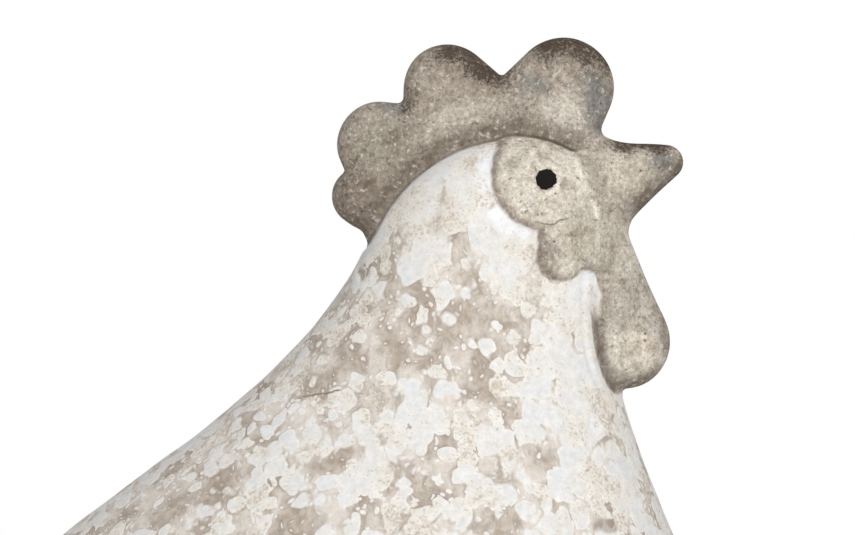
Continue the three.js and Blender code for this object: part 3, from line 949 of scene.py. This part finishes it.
# %% [markdown]
# ## The sizes of the patterns
#
# Each noise has the space it is read in, the size in mm of its largest grains, its detail and its roughness.
# The spaces are the hen's own coordinates, the same pushed about by 2.75 mm at most so that edges curl, and
# three that are drawn out downwards: flecks sag as they dry, stains run, and rain streaks the cement. Real
# sand is 0.1 to 0.4 mm and would be lost between two pixels, so sand and dust are drawn two to four times as
# coarse.

# %% Pattern sizes
WARP_GRAIN = 6.0
WARP_REACH = 5.5
SPACES = (("tall", "warped", 0.78), ("run", "warped", 0.6), ("down", "place", 0.16))
NOISES = {
    "cover": ("place", 15, 3.0, 0.5), "melt": ("place", 16, 2.0, 0.5), "age": ("run", 8, 5.0, 0.65),
    "drift": ("warped", 12, 5.0, 0.6), "cloud": ("place", 2.4, 5.0, 0.8), "crumb": ("place", 0.9, 2.0, 0.6),
    "mottle": ("warped", 5, 8.0, 0.72), "grain": ("place", 1.2, 3.0, 0.8), "sand": ("place", 1.5, 2.0, 0.5),
    "streak": ("down", 2.6, 3.0, 0.6), "dust": ("place", 0.9, 4.0, 0.8), "patch": ("warped", 5, 3.0, 0.6),
    "torn": ("place", 4, 4.0, 0.6), "chip": ("place", 1.3, 2.0, 0.5),
}
FLECK = 5.4
SMALL_FLECK = 2.2
PINHOLE_SPACING = 4.5
WASH_THICKNESS = 0.14
PAINT_PAST_PIT = 0.72
print(len(NOISES), "noises, the finest in mm:", min(size for _, size, _, _ in NOISES.values()))


def pattern_sources(tree):
    """The spaces, the noises and the marks that the patterns are made of, each as a dictionary of sockets."""
    place = add(tree, "ShaderNodeTexCoord", take="Object")
    settings = {"Vector": place, "Scale": per_mm(WARP_GRAIN), "Detail": 1.0}
    push = add(tree, "ShaderNodeTexNoise", settings, "Color")
    centred = add(tree, "ShaderNodeVectorMath", (push, (0.5, 0.5, 0.5)), operation="SUBTRACT")
    reach = (WARP_REACH * MM,) * 3
    warped = add(tree, "ShaderNodeVectorMath", (centred, reach, place), operation="MULTIPLY_ADD")
    space = {"place": place, "warped": warped}
    for name, source, squash in SPACES:
        inputs = (space[source], (1.0, 1.0, squash))
        space[name] = add(tree, "ShaderNodeVectorMath", inputs, operation="MULTIPLY")
    noise = {}
    for name, (where, size, detail, roughness) in NOISES.items():
        settings = {"Vector": space[where], "Scale": per_mm(size), "Detail": detail, "Roughness": roughness}
        noise[name] = add(tree, "ShaderNodeTexNoise", settings)
    mark = {}
    for name in marks:
        take = "Color" if name == "tone" else "Fac"
        mark[name] = add(tree, "ShaderNodeAttribute", take=take, attribute_name=name)
    return space, noise, mark

# %% [markdown]
# ## The wash
#
# Cells of a Voronoi pattern give the flecks: all points nearer than a set distance to a cell's seed make a
# disc, and discs that touch join into lobes. Flecks of two sizes are joined by a smooth maximum. The same
# value, in mm inside a fleck, then gives the ragged edge, the pale raised rim, the dark tide mark just
# outside it and the bump.


# %% Lime wash
def fleck_field(tree, place, size, reach):
    """Millimetres inside a fleck: the disc's reach less the distance to the nearest seed, both in cells,
    times the cell's size."""
    seed = add(tree, "ShaderNodeTexVoronoi", {"Vector": place, "Scale": per_mm(size), "Randomness": 1.0})
    gap = add(tree, "ShaderNodeMath", (reach, seed), operation="SUBTRACT")
    return add(tree, "ShaderNodeMath", (gap, size), operation="MULTIPLY")


def inside_flecks(tree, space, noise, mark):
    """Millimetres inside the nearest fleck. A fleck reaches further where cover and thickness are high, and
    less far where the wash is stained."""
    base = add(tree, "ShaderNodeMath", (mark["thick"], 0.7, 0.118), operation="MULTIPLY_ADD")
    less = add(tree, "ShaderNodeMath", (mark["stained"], -0.35, base), operation="MULTIPLY_ADD")
    reach = add(tree, "ShaderNodeMath", (noise["cover"], 0.85, less), operation="MULTIPLY_ADD")
    small_reach = add(tree, "ShaderNodeMath", (reach, 0.62), operation="MULTIPLY")
    large = fleck_field(tree, space["tall"], FLECK, reach)
    small = fleck_field(tree, space["tall"], SMALL_FLECK, small_reach)
    return add(tree, "ShaderNodeMath", (large, small, 0.5), operation="SMOOTH_MAX")


def lime_wash(tree, space, noise, mark):
    """Colour and height in mm of the wash: flecks over a stained ground, with melted edges, dark crumbs, and
    dirt and painted shade in the hollows."""
    inside = inside_flecks(tree, space, noise, mark)
    older = add(tree, "ShaderNodeMath", (mark["stained"], -0.09, noise["age"]), operation="MULTIPLY_ADD")
    ground = add(tree, "ShaderNodeValToRGB", (older,), stops=(
        (0.30, "#ac9f90"), (0.40, "#bfb4a8"), (0.48, "#ccc3b9"), (0.58, "#d5cdc4"), (0.70, "#d9d3cb"),
    ))
    pool = add(tree, "ShaderNodeMapRange", (inside, -1.3, -0.15))
    aged = add(tree, "ShaderNodeMapRange", (older, 0.56, 0.40))
    pooled = add(tree, "ShaderNodeMath", (pool, aged), operation="MULTIPLY")
    tide = add(tree, "ShaderNodeMath", (pooled, 0.6), operation="MULTIPLY")
    ground = add(tree, "ShaderNodeMix", {0: tide, 6: ground, 7: "#94877a"}, 2, data_type="RGBA")
    fleck = add(tree, "ShaderNodeValToRGB", (noise["drift"],), stops=(
        (0.34, "#d9d0c3"), (0.44, "#dedad2"), (0.53, "#dddbd8"), (0.68, "#d9dadb"),
    ))
    rim = add(tree, "ShaderNodeMapRange", (inside, 0.9, 0.1, 0.0, 0.55))
    chalk = add(tree, "ShaderNodeMapRange", (noise["drift"], 0.38, 0.56, 0.3, 0.8))
    piled = add(tree, "ShaderNodeMapRange", (mark["thick"], 0.45, 0.95))
    heap = add(tree, "ShaderNodeMath", (piled, chalk), operation="MULTIPLY")
    for share, tint in ((rim, "#e9e6df"), (heap, "#ededf0")):
        fleck = add(tree, "ShaderNodeMix", {0: share, 6: fleck, 7: tint}, 2, data_type="RGBA")
    soft = add(tree, "ShaderNodeMapRange", (noise["melt"], 0.45, 0.65, 0.16, 1.0))
    run_together = add(tree, "ShaderNodeMapRange", (mark["stained"], -0.05, -0.4, 0.0, 1.4))
    melt = add(tree, "ShaderNodeMath", (soft, run_together), operation="ADD")
    edge = add(tree, "ShaderNodeMath", (inside, melt), operation="DIVIDE")
    covered = add(tree, "ShaderNodeMapRange", (edge, -0.5, 0.5))
    colour = add(tree, "ShaderNodeMix", {0: covered, 6: ground, 7: fleck}, 2, data_type="RGBA")
    light = add(tree, "ShaderNodeMapRange", (noise["cloud"], 0.3, 0.7, 0.84, 1.11))
    colour = add(tree, "ShaderNodeVectorMath", {0: colour, "Scale": light}, operation="SCALE")
    crumbs = add(tree, "ShaderNodeMath", (noise["crumb"], noise["drift"]), operation="ADD")
    specks = add(tree, "ShaderNodeMapRange", (crumbs, 0.90, 0.76, 0.0, 0.5))
    # Painted shade and dirt: the wash darkens in the hollows.
    shade_and_dirt_in_hollows = add(tree, "ShaderNodeMapRange", (mark["hollow"], 0.15, 0.8, 0.0, 0.6))
    height = add(tree, "ShaderNodeMapRange", (inside, -0.3, 0.3, 0.0, WASH_THICKNESS))
    for share, tint in ((specks, "#9c8f82"), (shade_and_dirt_in_hollows, "#94877a")):
        colour = add(tree, "ShaderNodeMix", {0: share, 6: colour, 7: tint}, 2, data_type="RGBA")
    return colour, height

# %% [markdown]
# ## The bare cement
#
# The tones worked out for each vertex are too smooth alone, so mottle, grain and rain streaks lighten and
# darken them. Pale sand, dark specks, soot, pinholes, and dirt and painted shade in the hollows are then laid
# one over the other.


# %% Bare cement
def bare_cement(tree, space, noise, mark):
    """Colour and height in mm of weathered cement: tone times mottle times grain times streaks, under its
    dirt and the painted shade in its hollows."""
    mottle = add(tree, "ShaderNodeValToRGB", (noise["mottle"],), stops=(
        (0.34, "#bdb6ad"), (0.46, "#e6e3df"), (0.55, "#fbfaf9"), (0.66, "#ffffff"),
    ))
    inputs = {0: 1.0, 6: mark["tone"], 7: mottle}
    colour = add(tree, "ShaderNodeMix", inputs, 2, data_type="RGBA", blend_type="MULTIPLY")
    for name, low, high, dark, bright in (("grain", 0.3, 0.7, 0.66, 1.36), ("streak", 0.35, 0.65, 0.9, 1.1)):
        light = add(tree, "ShaderNodeMapRange", (noise[name], low, high, dark, bright))
        colour = add(tree, "ShaderNodeVectorMath", {0: colour, "Scale": light}, operation="SCALE")
    sandy = add(tree, "ShaderNodeMapRange", (noise["sand"], 0.60, 0.70, 0.0, 0.5))
    specked = add(tree, "ShaderNodeMapRange", (noise["sand"], 0.37, 0.29, 0.0, 0.65))
    dusty = add(tree, "ShaderNodeMath", (noise["dust"], 2.6, mark["soot"]), operation="MULTIPLY_ADD")
    patchy = add(tree, "ShaderNodeMath", (noise["patch"], 1.6, dusty), operation="MULTIPLY_ADD")
    sooted = add(tree, "ShaderNodeMapRange", (patchy, 2.2, 2.9, 0.0, 0.9))
    seed = add(tree, "ShaderNodeTexVoronoi", {
        "Vector": space["place"], "Scale": per_mm(PINHOLE_SPACING), "Randomness": 1.0,
    })
    pore = add(tree, "ShaderNodeMapRange", (seed, 0.05, 0.12, 0.8, 0.0))
    chance = add(tree, "ShaderNodeSeparateColor", (seed.node.outputs["Color"],))
    chosen = add(tree, "ShaderNodeMath", (chance, 0.55), operation="GREATER_THAN")
    pinhole = add(tree, "ShaderNodeMath", (pore, chosen), operation="MULTIPLY")
    # Painted shade and dirt: the cement darkens in the hollows.
    shade_and_dirt_in_hollows = add(tree, "ShaderNodeMapRange", (mark["hollow"], 0.2, 0.9, 0.0, 0.8))
    rough = add(tree, "ShaderNodeMath", (noise["grain"], 0.2), operation="MULTIPLY")
    height = add(tree, "ShaderNodeMath", (pinhole, -0.25, rough), operation="MULTIPLY_ADD")
    for share, tint in (
        (sandy, "#ddd5c8"), (specked, "#695f55"), (sooted, "#38291c"),
        (pinhole, "#5a5046"), (shade_and_dirt_in_hollows, "#65594d"),
    ):
        colour = add(tree, "ShaderNodeMix", {0: share, 6: colour, 7: tint}, 2, data_type="RGBA")
    return colour, height

# %% [markdown]
# ## The whole finish
#
# Wash and bare cement meet at a torn line, 0.5 mm wide, and thin dark lines run along that edge, in the seam
# under the comb, beside the fold and in the cracks. The line along the edge is dirt, and painted shade where
# it follows the face's raised edge; the lines in the seam and beside the fold are painted shade. The eyes are
# painted black by their distance from the pit's axis, with small chips in the paint. Cement and lime are dead
# matt: roughness 0.93, with little reflection.


# %% Lines, eyes and shader
def line_share(tree, across, wander, half_width, strength):
    """How strongly a thin line shows. It runs where a mark in mm, plus a wander, is zero: full within 0.3 of
    the half width, and gone past the half width."""
    pushed = add(tree, "ShaderNodeMath", (across, wander), operation="ADD")
    away = add(tree, "ShaderNodeMath", (pushed,), operation="ABSOLUTE")
    return add(tree, "ShaderNodeMapRange", (away, 0.3 * half_width, half_width, strength, 0.0))


def eye_share(tree, place, chip):
    """1 on the painted eye: within the pit's radius and a little more, less what the chips take."""
    flat = add(tree, "ShaderNodeVectorMath", (place, (1.0, 0.0, 1.0)), operation="MULTIPLY")
    centre = (EYE[0] * MM, 0.0, EYE[1] * MM)
    away = add(tree, "ShaderNodeVectorMath", (flat, centre), "Value", operation="DISTANCE")
    chipped = add(tree, "ShaderNodeMath", (chip, 1.5 * MM, away), operation="MULTIPLY_ADD")
    paint_edge = (EYE_DIAMETER / 2 + PAINT_PAST_PIT) * MM
    return add(tree, "ShaderNodeMapRange", (chipped, paint_edge, paint_edge - 0.15 * MM))


def make_finish():
    """Lime wash and bare cement in one material, with its lines and its painted eyes."""
    material = bpy.data.materials.new("lime-washed cast cement")
    material.use_nodes = True
    tree = material.node_tree
    tree.nodes.clear()
    space, noise, mark = pattern_sources(tree)
    wash_colour, wash_height = lime_wash(tree, space, noise, mark)
    bare_colour, bare_height = bare_cement(tree, space, noise, mark)
    ragged = add(tree, "ShaderNodeMath", (noise["torn"], 2.4, -1.2), operation="MULTIPLY_ADD")
    torn_edge = add(tree, "ShaderNodeMath", (mark["bare_mm"], ragged), operation="ADD")
    bare = add(tree, "ShaderNodeMapRange", (torn_edge, -0.25, 0.25))
    colour = wash_colour
    for share, over in (
        (bare, bare_colour),
        # A dark line along the wash's edge: dirt, and painted shade where it follows the face's raised edge.
        (line_share(tree, mark["bare_mm"], ragged, 0.6, 0.4), "#8d8072"),
        # Painted shade: the dark line in the crease under the comb.
        (line_share(tree, mark["seam_mm"], 0.0, 1.0, mark["seam_here"]), "#4c4238"),
        # Painted shade: the grey line beside the ridge at the wattle's fold.
        (line_share(tree, mark["fold_mm"], 3.4, 0.7, mark["fold_here"]), "#8d8780"),
        (line_share(tree, mark["crack_mm"], ragged, 0.4, mark["crack_here"]), "#857a6d"),
        (eye_share(tree, space["place"], noise["chip"]), "#14100d"),
    ):
        colour = add(tree, "ShaderNodeMix", {0: share, 6: colour, 7: over}, 2, data_type="RGBA")
    relief = add(tree, "ShaderNodeMix", {0: bare, 2: wash_height, 3: bare_height}, data_type="FLOAT")
    bump = add(tree, "ShaderNodeBump", {"Strength": 1.0, "Distance": MM, "Height": relief})
    shader = add(tree, "ShaderNodeBsdfPrincipled", {
        "Base Color": colour, "Roughness": 0.93, "Specular IOR Level": 0.3, "Normal": bump,
    })
    add(tree, "ShaderNodeOutputMaterial", {"Surface": shader})
    return material


figurine.data.materials.append(make_finish())
print("finish has", len(figurine.data.materials[0].node_tree.nodes), "nodes")

# %% [markdown]
# ## Floor, light and camera
#
# The photo is a studio cut-out: white ground, soft light with little shadow, and a long lens held level with
# the hen's eye. A wide soft lamp up in front gives the form, a weaker one fills, and a white surround does
# the rest. The floor is a disc of matt white paper. It lies below the photo's own frame, and carries the
# hen's shadow in other views.

# %% Floor
FLOOR_RADIUS = 1200.0
FLOOR_CORNERS = 96
turn = np.linspace(0, 2 * np.pi, FLOOR_CORNERS, endpoint=False)
ring = np.stack([FLOOR_RADIUS * np.cos(turn), FLOOR_RADIUS * np.sin(turn), np.zeros(FLOOR_CORNERS)], 1) * MM
floor_mesh = bpy.data.meshes.new("studio floor")
floor_mesh.from_pydata(ring.tolist(), [], [list(range(FLOOR_CORNERS))])
floor = bpy.data.objects.new("studio floor", floor_mesh)
bpy.context.scene.collection.objects.link(floor)
paper = bpy.data.materials.new("matt white paper")
paper.use_nodes = True
sheet = paper.node_tree.nodes["Principled BSDF"]
sheet.inputs["Base Color"].default_value = (*linear("#e8e7e4"), 1)
sheet.inputs["Roughness"].default_value = 0.9
floor_mesh.materials.append(paper)
print("floor is", 2 * FLOOR_RADIUS, "mm across")

# %% [markdown]
# ## Light
#
# The surround that the camera sees is pure white, as on the cut-out, but the light that it gives is dimmer,
# so that the lamps can shade the comb and the wattle. The lamp behind lights the side that the photo doesn't
# show.

# %% Light
world = bpy.data.worlds.new("white studio")
world.use_nodes = True
bpy.context.scene.world = world
sky = world.node_tree
sky.nodes.clear()
seen = add(sky, "ShaderNodeLightPath", take="Is Camera Ray")
surround = add(sky, "ShaderNodeBackground", ("#ffffff", 0.32))
backdrop = add(sky, "ShaderNodeBackground", ("#ffffff", 1.0))
both = add(sky, "ShaderNodeMixShader", (seen, surround, backdrop))
add(sky, "ShaderNodeOutputWorld", {"Surface": both})


def soft_lamp(name, place, size, power):
    """A square lamp that faces the hen's head, with its place and size in metres and its power in watts."""
    data = bpy.data.lights.new(name, "AREA")
    data.size = size
    data.energy = power
    lamp = bpy.data.objects.new(name, data)
    lamp.location = place
    aim = Vector((0.04, 0, 0.2)) - lamp.location
    lamp.rotation_euler = aim.to_track_quat("-Z", "Y").to_euler()
    bpy.context.scene.collection.objects.link(lamp)
    return lamp


for name, place, size, power in (
    ("key", (0.6, -1.2, 0.95), 0.9, 16.7),
    ("fill", (-0.7, -1.2, 0.45), 0.8, 4.5),
    ("back light", (-0.1, 1.5, 0.7), 1.0, 12.0),
):
    print("lamp:", soft_lamp(name, place, size, power).name, power, "W")
bpy.context.scene.view_settings.view_transform = "Standard"

# %% [markdown]
# ## Camera
#
# The photo's frame is 256.5 mm wide at the hen, and a long lens stands far enough off to see that width,
# which keeps the comb and the near cheek in proportion.

# %% Camera
LENS = 120.0
SENSOR = 36.0
FRAME_WIDTH = 256.5
FRAME_CENTRE = (38.25, 231.15)
distance = FRAME_WIDTH * grow * LENS / SENSOR
eye_data = bpy.data.cameras.new("camera")
eye_data.lens = LENS
eye_data.sensor_width = SENSOR
camera = bpy.data.objects.new("camera", eye_data)
camera.location = (FRAME_CENTRE[0] * grow * MM, -distance * MM, FRAME_CENTRE[1] * grow * MM)
camera.rotation_euler = (np.pi / 2, 0, 0)
bpy.context.scene.collection.objects.link(camera)
bpy.context.scene.camera = camera
print("camera is", round(distance), "mm away")
